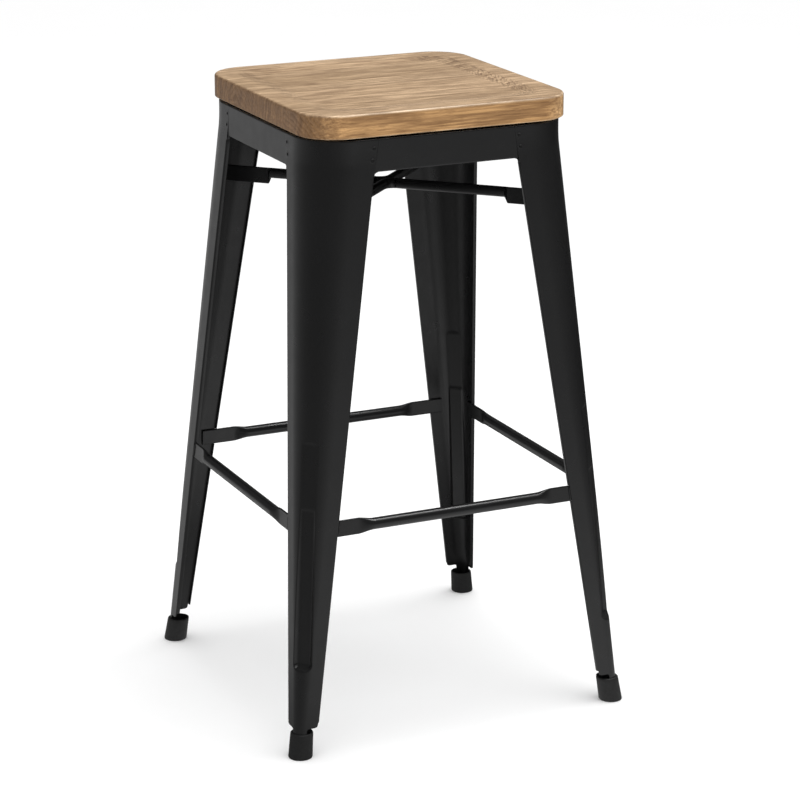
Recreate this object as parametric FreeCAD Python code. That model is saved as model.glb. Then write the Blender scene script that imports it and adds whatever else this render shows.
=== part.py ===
import FreeCAD, Part
import math
import os

from FreeCAD import Vector

# Bar stool with a wooden board seat on a folded sheet-steel frame, in millimetres.
# Z is up, the floor is z = 0 and the stool stands on the Z axis. The front faces -Y.

# Overall sizes
HEIGHT = 760.0                # floor to the top of the seat
SEAT_HALF = 170.4             # half the width of the square seat
SEAT_THICKNESS = 28.0
SEAT_GAP = 2.2                # shadow gap between the board and the frame
SEAT_CORNER_RADIUS = 47.0
SEAT_TOP_ROUND = 3.0
SEAT_BOTTOM_ROUND = 1.5
STAVE_COUNT = 4               # glued boards that make the seat, side by side along Y
STAVE_NAMES = ("seat_stave_front", "seat_stave_mid_front", "seat_stave_mid_back", "seat_stave_back")
DISH_INSET = 30.0             # rim left flat around the shallow dish
DISH_RUN = 16.0               # width of the dish's sloping edge
DISH_DEPTH = 3.0
DISH_CORNER_SHARE = 0.4       # of its inset that the dish's corner radius loses

# Sheet steel
SHEET = 1.2
BOARD_BOTTOM = HEIGHT - SEAT_THICKNESS
FRAME_TOP = BOARD_BOTTOM - SEAT_GAP
FOLD_OUTER = 2.0              # outer radius of the folds
TOP_FLANGE = 10.0             # ledge folded inwards under the seat

# Leg, described in the plane of its two outer faces. Each size runs straight from z = 0 to LEG_REF.
LEG_REF = 700.0
FACE_AT_FLOOR = 219.7        # distance of an outer face from the Z axis
FACE_AT_REF = 170.2
WING_AT_FLOOR = 25.6          # width of a leg face, from the sharp corner to its free edge
WING_AT_REF = 78.6
CORNER_AT_FLOOR = 9.6         # outer radius of the leg's rounded corner
CORNER_AT_REF = 60.5
LIP = 5.0                     # lip folded inwards along each free edge
LIP_TOP = 686.0
BEND_START = 695.0            # the splayed leg turns upright over this stretch
BEND_END = 719.0
BEND_STEPS = 4
LEG_FOOT = 5.0                # lowest point of the leg's tongue, inside the foot cap
WING_BOTTOM = 36.0            # the faces stop here, and the rounded corner runs on as a tongue
WING_BOTTOM_ROUND = 6.0
CROWN_ROUND = 1.7             # along the top edge, between leg face and ledge
LEG_BACK = 3.0                # how far the leg's blank reaches past its lips before it cuts the corner
TONGUE_SPARE = 0.4            # of the tongue past the rounded corner, on each side

# Groove pressed inwards along each leg's corner
GROOVE_EDGE = 16.5            # from the sharp corner to the groove's edge, along a face
GROOVE_FLOOR = 15.7           # from the sharp corner to the groove's floor, along the diagonal
GROOVE_FLOOR_HALF = 8.5
GROOVE_BOTTOM = (104.0, 113.0)
GROOVE_TOP = (297.0, 309.0)
LEAD_TOP = (376.0, 384.0)     # above the groove a shallow flat leads in
LEAD_DEPTH = 1.4
LEAD_OVERLAP = 10.0           # of the flat down into the groove
PRESS_CLEAR = 3.0             # how far the pressing tools start outside the sharp corner

# Aprons between the legs
APRON_BOTTOM = 690.6
APRON_CORNER = 5.0
APRON_TAB = 11.0              # joggled tab behind each leg face, held by spot welds
APRON_LIP = 5.0
SEAM = 0.3
SPOT_HEIGHTS = (705.0, 719.0)
SPOT_INSET = 4.5              # from the leg's free edge
SPOT_RADIUS = 2.2
SPOT_DEPTH = 0.4

# Seat pan and its screws
PAN_GAP = 1.0
PAN_RISE = SHEET + SEAT_GAP     # from the pan's rim up to its raised middle
PAN_RAISED_HALF = 140.0
PAN_RAISED_TIGHTER = 10.0     # of the raised middle's corner radius against the pan's
SCREW_X = 100.0               # two screws hold each stave, this far from its middle
SCREW_SHANK = 2.0
SCREW_DEPTH = 16.0
SCREW_HEAD = 4.5
SCREW_HEAD_HEIGHT = 2.4
SCREW_HEAD_ROUND = 1.2
SCREW_SLOT = (6.0, 1.0)       # length, and both width and depth, of each arm of the cross

# Footrest rails: tube with its ends pressed flat
RAIL_HEIGHT = 274.7
RAIL_RADIUS = 7.0
RAIL_WALL = 1.2
RAIL_TAB_HALF = 10.0
RAIL_TAB_THICK = 2.6
RAIL_TAB_END = 171.0
RAIL_FLARE = (110.0, 127.0)
TAB_EDGE_SHARE = 0.45         # of a flat end's thickness that its long edges are rounded by

# Cross brace under the seat: two bent tubes that touch at the middle
BRACE_HEIGHT = 636.2
BRACE_RADIUS = 6.3
BRACE_WALL = 1.2
BRACE_BEND = 14.0             # radius of the bend at the middle
BRACE_FLARE = (152.0, 155.0)
BRACE_TAB_HALF = 10.1
BRACE_TAB_THICK = 3.0

# Foot caps
CAP_TOP_RADIUS = 13.8
CAP_BOTTOM_RADIUS = 14.7
CAP_CENTRE = 210.4           # of the cap's bottom, from the stool's middle planes
CAP_LEAN = 0.125              # how far its centre moves inwards for each millimetre up
CAP_HEIGHT = 30.0
CAP_BASE = 4.6                # rubber below the leg's tongue
CAP_EDGE = 1.5

# Welds and clearances
WELD = 2.0
WELD_HALF = 9.5               # half the length of a bead at a rail's end
WELD_CLEAR = 0.1
BRACE_WELD = (6.8, 4.0)       # width and height of a bead where the two brace tubes touch
BRACE_WELD_LENGTH = 18.0
BRACE_WELD_START = 2.2        # above and below the tubes' centre line
GAP = 0.15
SPARE = 5.0                   # how far a cutting shape runs past what it cuts

CORNERS = {"front_right": 0, "back_right": 90, "back_left": 180, "front_left": 270}
SIDES = {"front": 0, "right": 90, "back": 180, "left": 270}


def save(shape, name):
    """Write one node."""
    shape.exportStep("parts/%s.step" % name)
    box = shape.BoundBox
    print("%-24s solids %d valid %s volume %9.0f  z %.1f..%.1f" % (
        name, len(shape.Solids), shape.isValid(), shape.Volume, box.ZMin, box.ZMax))


def turned(shape, degrees):
    """A copy turned about the Z axis."""
    copy = shape.copy()
    copy.rotate(Vector(0, 0, 0), Vector(0, 0, 1), degrees)
    return copy


def face_slope():
    """How far an outer face moves outwards for each millimetre down."""
    return (FACE_AT_FLOOR - FACE_AT_REF) / LEG_REF


def face_at(z):
    """Distance of a leg's outer face from the Z axis at height z."""
    slope = face_slope()
    if z <= BEND_START:
        return FACE_AT_FLOOR - slope * z
    run = min(z, BEND_END) - BEND_START
    recovered = slope * run * run / (2 * (BEND_END - BEND_START))
    return FACE_AT_FLOOR - slope * (BEND_START + run) + recovered


def wing_at(z):
    """Width of a leg face at height z, from the sharp corner."""
    straight = FACE_AT_FLOOR + (FACE_AT_REF - FACE_AT_FLOOR) * z / LEG_REF
    wing = WING_AT_FLOOR + (WING_AT_REF - WING_AT_FLOOR) * z / LEG_REF
    return wing - straight + face_at(z)


def corner_at(z):
    """Outer radius of the leg's rounded corner at height z."""
    return CORNER_AT_FLOOR + (CORNER_AT_REF - CORNER_AT_FLOOR) * min(z, LEG_REF) / LEG_REF


def free_edge_at(z):
    """Distance of a leg face's free edge from the stool's middle plane."""
    return face_at(z) - wing_at(z)


def line(a, b):
    return Part.LineSegment(a, b).toShape()


def arc(centre, radius, start, end):
    """Arc in a horizontal plane, between two angles in degrees."""
    points = []
    for angle in (start, (start + end) / 2, end):
        turn = math.radians(angle)
        points.append(centre + Vector(radius * math.cos(turn), radius * math.sin(turn), 0))
    return Part.Arc(*points).toShape()


def polygon(points):
    """Closed wire through the points."""
    return Part.makePolygon(list(points) + [points[0]])


def prism(points, direction):
    """Solid from a flat closed outline, pushed along a direction."""
    return Part.Face(polygon(points)).extrude(direction)


def leg_section(z, skin, lip):
    """Outline of the leg's channel at height z, in the corner where X and Y are positive.

    skin is how far the outline lies inside the outer faces, and lip is the depth of its lips.
    """
    outer = face_at(z) - skin
    edge = face_at(z) - wing_at(z) + skin
    inner = face_at(z) - lip
    corner = corner_at(z) - skin
    fold = FOLD_OUTER - skin
    back = edge + LEG_BACK
    p = [Vector(edge, inner, z), Vector(edge, outer - fold, z), Vector(edge + fold, outer, z),
         Vector(outer - corner, outer, z), Vector(outer, outer - corner, z),
         Vector(outer, edge + fold, z), Vector(outer - fold, edge, z), Vector(inner, edge, z),
         Vector(inner, back, z), Vector(back, inner, z)]
    edges = [line(p[0], p[1]),
             arc(Vector(edge + fold, outer - fold, z), fold, 180, 90),
             line(p[2], p[3]),
             arc(Vector(outer - corner, outer - corner, z), corner, 90, 0),
             line(p[4], p[5]),
             arc(Vector(outer - fold, edge + fold, z), fold, 0, -90),
             line(p[6], p[7]), line(p[7], p[8]), line(p[8], p[9]), line(p[9], p[0])]
    return Part.Wire(edges)


def leg_heights(low, high):
    """Heights of the sections that the leg's channel runs through."""
    steps = [BEND_START + (BEND_END - BEND_START) * i / BEND_STEPS for i in range(BEND_STEPS + 1)]
    return [low] + steps + [high]


def leg_block(skin, lip, low, high):
    sections = [leg_section(z, skin, lip) for z in leg_heights(low, high)]
    return Part.makeLoft(sections, True, True)


def groove_section(z, floor, half, flare):
    """Outline of the groove tool: floor is its depth and half its half-width, across the diagonal."""
    wide = half + (floor + PRESS_CLEAR) * flare
    corner = Vector(face_at(z), face_at(z), z)
    inwards = Vector(-1, -1, 0) * math.sqrt(0.5)
    across = Vector(1, -1, 0) * math.sqrt(0.5)
    return polygon([corner + inwards * b + across * a
                    for a, b in ((-wide, -PRESS_CLEAR), (wide, -PRESS_CLEAR), (half, floor), (-half, floor))])


def groove_tool(skin):
    """The pressed groove as a solid. skin grows it for the inner side of the sheet."""
    chord = GROOVE_EDGE / math.sqrt(2)
    flare = (chord - GROOVE_FLOOR_HALF) / (GROOVE_FLOOR - chord)
    grow = skin * (math.sqrt(1 + flare * flare) - flare)
    deep = GROOVE_FLOOR + skin
    half = GROOVE_FLOOR_HALF + grow
    steps = ((GROOVE_BOTTOM[0] - skin, apex_at(GROOVE_BOTTOM[0]) - 1.0),
             (GROOVE_BOTTOM[1] - skin, deep),
             (GROOVE_TOP[0] + skin, deep),
             (GROOVE_TOP[1] + skin, apex_at(GROOVE_TOP[1])))
    rows = [groove_section(z, floor, half, flare) for z, floor in steps]
    return Part.makeLoft(rows, True, True)


def lead_tool(skin):
    """The shallow flat above the groove."""
    deep = LEAD_DEPTH + skin
    steps = ((GROOVE_TOP[0] - LEAD_OVERLAP, deep), (LEAD_TOP[0], deep), (LEAD_TOP[1] + skin, 0.0))
    rows = [groove_section(z, apex_at(z) + depth, GROOVE_EDGE, 1.0) for z, depth in steps]
    return Part.makeLoft(rows, True, True)


def apex_at(z):
    """Distance from the sharp corner to the rounded corner, along the diagonal."""
    return corner_at(z) * (math.sqrt(2) - 1)


def wing_cut():
    """What is cut away below one face of the leg, leaving the tongue."""
    low = LEG_FOOT - 1
    top = WING_BOTTOM
    big = WING_BOTTOM_ROUND
    small = big / 2
    free = free_edge_at(top)
    root = face_at(top) - corner_at(top) - TONGUE_SPARE
    foot = face_at(low) - corner_at(low) - TONGUE_SPARE
    y = face_at(0) + SPARE

    def at(x, z):
        return Vector(x, y, z)

    eased = 1 - math.sqrt(0.5)
    out = free - SPARE
    near = small * eased
    free_arc = Part.Arc(at(free, top + big), at(free + big * eased, top + big * eased), at(free + big, top))
    root_arc = Part.Arc(at(root - small, top), at(root - near, top - near), at(root, top - small))
    outline = Part.Wire([
        line(at(out, low), at(out, top + big)), line(at(out, top + big), at(free, top + big)),
        free_arc.toShape(), line(at(free + big, top), at(root - small, top)), root_arc.toShape(),
        line(at(root, top - small), at(foot, low)), line(at(foot, low), at(out, low))])
    return Part.Face(outline).extrude(Vector(0, -3 * SPARE, 0))


def mirrored(shape):
    """The same shape on the leg's other face."""
    return shape.mirror(Vector(0, 0, 0), Vector(1, -1, 0))


def rail_notch():
    """Room through the leg's lip for a rail's flat end."""
    low = RAIL_HEIGHT - RAIL_TAB_HALF - GAP
    high = RAIL_HEIGHT + RAIL_TAB_HALF + GAP
    start = free_edge_at(RAIL_HEIGHT) - SPARE
    front = face_at(low) - SHEET
    lean = face_slope() * (high - low)
    deep = LIP + SPARE
    points = [Vector(start, front - deep, low), Vector(start, front, low),
              Vector(start, front - lean, high), Vector(start, front - lean - deep, high)]
    return prism(points, Vector(2 * SPARE, 0, 0))


def top_ledge_tool():
    """Space inside the frame's top, leaving the ledge that the seat rests on."""
    half = face_at(FRAME_TOP) - TOP_FLANGE
    return rounded_square(half, corner_at(FRAME_TOP) - TOP_FLANGE, FRAME_TOP - SPARE, 2 * SPARE)


def rounded_square(half, radius, z, height):
    """Square slab centred on the Z axis, with rounded corners."""
    box = Part.makeBox(2 * half, 2 * half, height, Vector(-half, -half, z))
    upright = [e for e in box.Edges if abs(e.tangentAt(e.FirstParameter).z) > 0.9]
    return box.makeFillet(radius, upright)


def spot_dimples():
    """Spot-weld marks along the free edge of one leg face."""
    marks = []
    ball = SPOT_RADIUS * SPOT_RADIUS / (2 * SPOT_DEPTH) + SPOT_DEPTH / 2
    for z in SPOT_HEIGHTS:
        centre = Vector(free_edge_at(z) + SPOT_INSET, face_at(z) + ball - SPOT_DEPTH, z)
        marks.append(Part.makeSphere(ball, centre))
    return marks


def crown_edges(block):
    """Outer edges round the top of a leg's blank."""
    near = free_edge_at(FRAME_TOP)
    far = face_at(FRAME_TOP)
    found = []
    for edge in block.Edges:
        box = edge.BoundBox
        outer = max(box.XMax, box.YMax) > far - 0.01 and box.XMax + box.YMax > near + far - 0.01
        if outer and box.ZMin > FRAME_TOP - 0.01 and box.DiagonalLength > 2 * FOLD_OUTER:
            found.append(edge)
    return found


def make_leg():
    """One leg, in the corner where X and Y are positive."""
    outside = leg_block(0.0, LIP, LEG_FOOT, FRAME_TOP)
    outside = outside.makeFillet(CROWN_ROUND, crown_edges(outside))
    leg = outside.cut(leg_block(SHEET, LIP + SPARE, LEG_FOOT - 1, FRAME_TOP - SHEET))
    pressed = groove_tool(SHEET).fuse(lead_tool(SHEET)).common(outside)
    leg = leg.fuse(pressed).cut(groove_tool(0.0)).cut(lead_tool(0.0))
    for cut in (wing_cut(), rail_notch(), lip_top_cut()):
        leg = leg.cut([cut, mirrored(cut)])
    dimples = spot_dimples()
    leg = leg.cut(dimples + [mirrored(d) for d in dimples] + [top_ledge_tool()])
    return leg.removeSplitter()


def lip_top_cut():
    """The lip ends below the apron, where the apron's tab takes its place."""
    near = free_edge_at(FRAME_TOP) - 1
    width = free_edge_at(LIP_TOP) + 2 * FOLD_OUTER - near
    inside = face_at(FRAME_TOP) - SHEET
    deep = LIP + SPARE
    return Part.makeBox(width, deep, FRAME_TOP - SHEET - LIP_TOP, Vector(near, inside - deep, LIP_TOP))


def apron_profile(x):
    """Section of the front apron: the panel, its ledge at the top and its hem at the bottom."""
    face = face_at(FRAME_TOP)
    fold, inner = FOLD_OUTER, FOLD_OUTER - SHEET
    low, high = APRON_BOTTOM + fold, FRAME_TOP - fold
    turn = math.sqrt(0.5)

    def at(depth, z):
        return Vector(x, -face + depth, z)

    def bend(z, radius, up):
        rise = up * radius
        middle = at(fold - radius * turn, z + rise * turn)
        return Part.Arc(at(fold - radius, z), middle, at(fold, z + rise)).toShape()

    edges = [line(at(0, low), at(0, high)), line(at(SHEET, high), at(SHEET, low))]
    for z, up, reach in ((high, 1, TOP_FLANGE), (low, -1, APRON_LIP)):
        outer_z, inner_z = z + up * fold, z + up * inner
        edges += [bend(z, fold, up), line(at(fold, outer_z), at(reach, outer_z)),
                  line(at(reach, outer_z), at(reach, inner_z)), line(at(reach, inner_z), at(fold, inner_z)),
                  bend(z, inner, up)]
    return Part.Wire(Part.__sortEdges__(edges))


def apron_outline(y):
    """Front view of the apron: its ends lean with the legs' free edges and its lower corners curve down."""
    low, high = APRON_BOTTOM, FRAME_TOP
    radius = APRON_CORNER
    lean = (free_edge_at(low) - free_edge_at(high)) / (high - low)
    side_angle = math.atan(lean)
    narrow = free_edge_at(high) - SEAM
    centre_x = free_edge_at(low - radius) - SEAM - radius / math.cos(side_angle)

    def at(x, z):
        return Vector(x, y, z)

    def rim(side, angle):
        return at(side * (centre_x + radius * math.cos(angle)), low - radius + radius * math.sin(angle))

    def corner(side, first, last):
        return Part.Arc(rim(side, first), rim(side, (first + last) / 2), rim(side, last)).toShape()

    up = math.pi / 2
    return Part.Wire([
        line(at(narrow, high), rim(1, side_angle)), corner(1, side_angle, up),
        line(rim(1, up), rim(-1, up)), corner(-1, up, side_angle),
        line(rim(-1, side_angle), at(-narrow, high)), line(at(-narrow, high), at(narrow, high))])


def make_apron():
    """Front apron panel, between the two front legs."""
    face = face_at(FRAME_TOP)
    low, high = APRON_BOTTOM, FRAME_TOP
    half = free_edge_at(low - APRON_CORNER)
    short = half - APRON_CORNER
    channel = Part.Face(apron_profile(-half)).extrude(Vector(2 * half, 0, 0))
    depth = APRON_CORNER + FOLD_OUTER
    ends = Part.makeBox(2 * half, SHEET, depth, Vector(-half, -face, low - APRON_CORNER))
    ends = ends.cut(Part.makeBox(2 * short, SHEET, depth, Vector(-short, -face, low - APRON_CORNER)))
    outline = Part.Face(apron_outline(-face - 1)).extrude(Vector(0, TOP_FLANGE + 2, 0))
    apron = channel.fuse(ends).common(outline)
    bottom, top = LIP_TOP + SEAM, high - SHEET - SPARE
    curve = APRON_CORNER * math.sqrt(0.5)
    for side in (-1, 1):
        outer = side * (free_edge_at(low) + APRON_TAB)
        inner = side * (free_edge_at(high) - SPARE)
        edge = side * (half - SEAM / 2)
        mid = side * (short + curve), low - APRON_CORNER + curve + SEAM
        tab = [(inner, low + APRON_CORNER), mid, (edge, bottom), (outer, bottom), (outer, top), (inner, top)]
        apron = apron.fuse(prism([Vector(x, SHEET - face, z) for x, z in tab], Vector(0, SHEET, 0)))
    return apron.removeSplitter()


def stave_width():
    return 2 * SEAT_HALF / STAVE_COUNT


def screw_places():
    """Two screws along the middle of each stave."""
    rows = [(i + 0.5) * stave_width() - SEAT_HALF for i in range(STAVE_COUNT)]
    return [(x, y) for x in (-SCREW_X, SCREW_X) for y in rows]


def make_pan():
    """Pressed steel pan under the seat board, with a raised middle that meets the board."""
    top = FRAME_TOP - SHEET
    inset = SHEET + PAN_GAP
    radius = corner_at(FRAME_TOP) - inset
    raised_radius = radius - PAN_RAISED_TIGHTER
    plate = rounded_square(face_at(FRAME_TOP) - inset, radius, top - SHEET, SHEET)
    raised = rounded_square(PAN_RAISED_HALF, raised_radius, top - SHEET, PAN_RISE + SHEET)
    hollow = rounded_square(PAN_RAISED_HALF - SHEET, raised_radius - SHEET, top - SHEET, PAN_RISE)
    holes = [Part.makeCylinder(SCREW_SHANK, 2 * SPARE, Vector(x, y, top - SPARE)) for x, y in screw_places()]
    return plate.fuse(raised).cut(hollow).cut(holes).removeSplitter()


def make_screws():
    """Cross-headed screws up through the pan into the staves."""
    screws = []
    length, width = SCREW_SLOT
    under = BOARD_BOTTOM - SHEET
    low = under - SCREW_HEAD_HEIGHT
    for x, y in screw_places():
        shank = Part.makeCylinder(SCREW_SHANK, SCREW_DEPTH, Vector(x, y, under))
        head = Part.makeCylinder(SCREW_HEAD, SCREW_HEAD_HEIGHT, Vector(x, y, low))
        rim = [e for e in head.Edges if e.BoundBox.ZMax < low + 0.01]
        head = head.makeFillet(SCREW_HEAD_ROUND, rim)
        arms = [Part.makeBox(length, width, width, Vector(x - length / 2, y - width / 2, low)),
                Part.makeBox(width, length, width, Vector(x - width / 2, y - length / 2, low))]
        screws.append(shank.fuse(head).cut(arms))
    return Part.makeCompound(screws)


def make_board():
    """The whole seat, before it is divided into its staves."""
    board = rounded_square(SEAT_HALF, SEAT_CORNER_RADIUS, BOARD_BOTTOM, SEAT_THICKNESS)
    top = [e for e in board.Edges if e.BoundBox.ZMin > HEIGHT - 0.01]
    board = board.makeFillet(SEAT_TOP_ROUND, top)
    bottom = [e for e in board.Edges if e.BoundBox.ZMax < BOARD_BOTTOM + 0.01]
    board = board.makeFillet(SEAT_BOTTOM_ROUND, bottom)
    steps = ((HEIGHT - DISH_DEPTH, DISH_INSET + DISH_RUN), (HEIGHT + DISH_DEPTH, DISH_INSET - DISH_RUN))
    rows = []
    for z, inset in steps:
        slab = rounded_square(SEAT_HALF - inset, SEAT_CORNER_RADIUS - inset * DISH_CORNER_SHARE, z, 1.0)
        rows.append(min(slab.Faces, key=lambda face: face.CenterOfMass.z).OuterWire)
    dish = Part.makeLoft(rows, True, True)
    deep = SCREW_DEPTH - SHEET
    holes = [Part.makeCylinder(SCREW_SHANK, deep, Vector(x, y, BOARD_BOTTOM)) for x, y in screw_places()]
    return board.cut([dish] + holes)


def make_staves():
    """The board cut along its glue lines, from front to back."""
    board = make_board()
    width = stave_width()
    staves = []
    for i in range(STAVE_COUNT):
        corner = Vector(-2 * SEAT_HALF, i * width - SEAT_HALF, BOARD_BOTTOM - SPARE)
        staves.append(board.common(Part.makeBox(4 * SEAT_HALF, width, SEAT_THICKNESS + 2 * SPARE, corner)))
    return staves


def ring(x, half_height, half_thick, drop):
    """Closed rounded rectangle across X, with eight edges, round when both halves are equal."""
    r = min(half_thick * 0.999, half_height * 0.999)
    a = half_thick - r
    b = half_height - r
    turn = r * math.sqrt(0.5)
    z = -drop
    quads = ((1, 1), (-1, 1), (-1, -1), (1, -1))
    edges = []
    for i, (sy, sz) in enumerate(quads):
        along_y = Vector(x, sy * (a + r), z + sz * b)
        along_z = Vector(x, sy * a, z + sz * (b + r))
        middle = Vector(x, sy * (a + turn), z + sz * (b + turn))
        first, last = (along_y, along_z) if i % 2 == 0 else (along_z, along_y)
        edges.append(Part.Arc(first, middle, last).toShape())
        ny, nz = quads[(i + 1) % 4]
        if i % 2 == 0:
            nxt = Vector(x, ny * a, z + nz * (b + r))
        else:
            nxt = Vector(x, ny * (a + r), z + nz * b)
        edges.append(line(last, nxt))
    return Part.Wire(edges)


def flat_ended_tube(radius, wall, start, flare, end, tab_half, tab_thick, drop):
    """Tube along +X from start, pressed flat over its last stretch. Returns its solid and its bore.

    flare is where the flattening begins and where it is complete, and end is where the flat end stops
    at its lower and upper edge.
    """
    along = Vector(1, 0, 0)
    round_end, flat_start = flare
    body = Part.makeCylinder(radius, round_end - start, Vector(start, 0, 0), along)
    bore = Part.makeCylinder(radius - wall, round_end - start, Vector(start, 0, 0), along)
    half = tab_thick / 2
    rings = [ring(round_end, radius, radius, 0.0), ring(flat_start, tab_half, half, drop)]
    low, high = -drop - tab_half, tab_half - drop
    tab = prism([Vector(flat_start, -half, low), Vector(end[0], -half, low),
                 Vector(end[1], -half, high), Vector(flat_start, -half, high)], Vector(0, tab_thick, 0))
    long_edges = [e for e in tab.Edges if abs(e.tangentAt(e.FirstParameter).x) > 0.99]
    tab = tab.makeFillet(tab_thick * TAB_EDGE_SHARE, long_edges)
    return [body, Part.makeLoft(rings, True, True), tab], bore


def make_rail():
    """Front footrest rail. Its flat ends lie behind the leg faces and lean with them."""
    end = (RAIL_TAB_END, RAIL_TAB_END)
    half, bore = flat_ended_tube(RAIL_RADIUS, RAIL_WALL, 0.0, RAIL_FLARE, end,
                                 RAIL_TAB_HALF, RAIL_TAB_THICK, 0.0)
    other = [s.mirror(Vector(0, 0, 0), Vector(1, 0, 0)) for s in half]
    rail = half[0].fuse(half[1:] + other).removeSplitter()
    rail = rail.cut(bore.fuse(bore.mirror(Vector(0, 0, 0), Vector(1, 0, 0))))
    lean = math.degrees(math.atan(face_slope()))
    rail.rotate(Vector(0, 0, 0), Vector(1, 0, 0), -lean)
    depth = SHEET + GAP + RAIL_TAB_THICK / 2
    rail.translate(Vector(0, -(face_at(RAIL_HEIGHT) - depth / math.cos(math.radians(lean))), RAIL_HEIGHT))
    return rail


def rail_weld(side):
    """Weld bead in the step between a front leg face's free edge and the rail's flat end."""
    rows = []
    for z in (RAIL_HEIGHT - WELD_HALF, RAIL_HEIGHT + WELD_HALF):
        x = free_edge_at(z) - WELD_CLEAR
        y = SHEET - face_at(z)
        rows.append(polygon([Vector(side * x, y, z), Vector(side * (x - WELD), y, z),
                             Vector(side * x, y - SHEET + WELD_CLEAR, z)]))
    return Part.makeLoft(rows, True, True)


def make_brace(side):
    """One bent brace tube. side is -1 for the one that joins the front legs, 1 for the back."""
    z_top = BRACE_HEIGHT + BRACE_RADIUS
    drop = BRACE_TAB_HALF - BRACE_RADIUS
    high, low = z_top, z_top - 2 * BRACE_TAB_HALF
    shift = BRACE_RADIUS + GAP - BRACE_BEND * (math.sqrt(2) - 1)
    ends = tuple(inner_corner_at(z) - GAP - shift * math.sqrt(0.5) for z in (low, high))
    turn_back = BRACE_BEND * math.tan(math.radians(45))
    parts, bore = flat_ended_tube(BRACE_RADIUS, BRACE_WALL, turn_back, BRACE_FLARE, ends,
                                  BRACE_TAB_HALF, BRACE_TAB_THICK, drop)
    arms, bores = [], []
    for angle in (45 * side, 180 - 45 * side):
        for shape in parts:
            arms.append(turned(shape, angle))
        bores.append(turned(bore, angle))
    centre = Vector(0, side * BRACE_BEND * math.sqrt(2), 0)
    bend = bend_piece(BRACE_RADIUS, centre, side)
    hollow = bend_piece(BRACE_RADIUS - BRACE_WALL, centre, side)
    brace = arms[0].fuse(arms[1:] + [bend]).removeSplitter()
    brace = brace.cut(bores[0].fuse([bores[1], hollow]))
    brace.translate(Vector(0, side * shift, BRACE_HEIGHT))
    return brace


def bend_piece(radius, centre, side):
    """Quarter of a ring of tube, joining the two arms at the middle."""
    start = turned(Part.Vertex(Vector(BRACE_BEND, 0, 0)), 45 * side).Point
    along = Vector(math.cos(math.radians(45 * side)), math.sin(math.radians(45 * side)), 0)
    section = Part.Face(Part.Wire(Part.makeCircle(radius, start, along)))
    return section.revolve(centre, Vector(0, 0, 1), -90 * side)


def inner_corner_at(z):
    """Distance from the Z axis to the inside of a leg's corner, along the diagonal."""
    radius = corner_at(z)
    return (face_at(z) - radius) * math.sqrt(2) + radius - SHEET


def make_brace_welds():
    """Beads above and below the place where the two brace tubes touch."""
    width, height = BRACE_WELD
    start = -BRACE_WELD_LENGTH / 2
    along = Vector(BRACE_WELD_LENGTH, 0, 0)
    beads = []
    for up in (-1, 1):
        z = BRACE_HEIGHT + up * BRACE_WELD_START
        outline = [(-width / 2, z + up * height), (width / 2, z + up * height), (0, z)]
        beads.append(prism([Vector(start, y, level) for y, level in outline], along))
    braces = [make_brace(-1), make_brace(1)]
    return Part.makeCompound([bead.cut(braces) for bead in beads])


def make_cap():
    """Rubber foot cap in the corner where X and Y are positive, leaning with the leg's tongue."""
    def circle(z, centre, radius):
        return Part.Wire(Part.makeCircle(radius, Vector(centre, centre, z), Vector(0, 0, 1)))

    def socket_circle(z):
        return circle(z, face_at(z) - corner_at(z), corner_at(z) + GAP)

    top_centre = CAP_CENTRE - CAP_LEAN * CAP_HEIGHT
    ends = [circle(0, CAP_CENTRE, CAP_BOTTOM_RADIUS), circle(CAP_HEIGHT, top_centre, CAP_TOP_RADIUS)]
    outside = Part.makeLoft(ends, True, True)
    rims = [e for e in outside.Edges if e.BoundBox.ZMax < 0.01 or e.BoundBox.ZMin > CAP_HEIGHT - 0.01]
    outside = outside.makeFillet(CAP_EDGE, rims)
    socket = Part.makeLoft([socket_circle(CAP_BASE), socket_circle(CAP_HEIGHT + 2)], True, True)
    return outside.cut(socket)


def main():
    os.makedirs("parts", exist_ok=True)
    leg = make_leg()
    cap = make_cap()
    for name, degrees in CORNERS.items():
        save(turned(leg, degrees - 90), "leg_" + name)
        save(turned(cap, degrees - 90), "foot_cap_" + name)
    apron = make_apron()
    rail = make_rail()
    for name, degrees in SIDES.items():
        save(turned(apron, degrees), "apron_" + name)
        save(turned(rail, degrees), "footrest_rail_" + name)
    beads = [rail_weld(-1), rail_weld(1)]
    save(Part.makeCompound([turned(b, d) for b in beads for d in SIDES.values()]), "rail_welds")
    save(make_brace(-1), "brace_tube_front")
    save(make_brace(1), "brace_tube_back")
    save(make_brace_welds(), "brace_welds")
    save(make_pan(), "seat_pan")
    save(make_screws(), "seat_screws")
    for name, stave in zip(STAVE_NAMES, make_staves()):
        save(stave, name)


main()
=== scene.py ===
"""Bar stool with a wooden seat on a folded steel frame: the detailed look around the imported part.

Shapes are worked out in millimetres and scaled to metres when a mesh is made. Z is up and the front faces -Y.
"""

import math
from contextlib import contextmanager

import bmesh
import bpy
import numpy as np
from mathutils import Matrix, Vector


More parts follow.
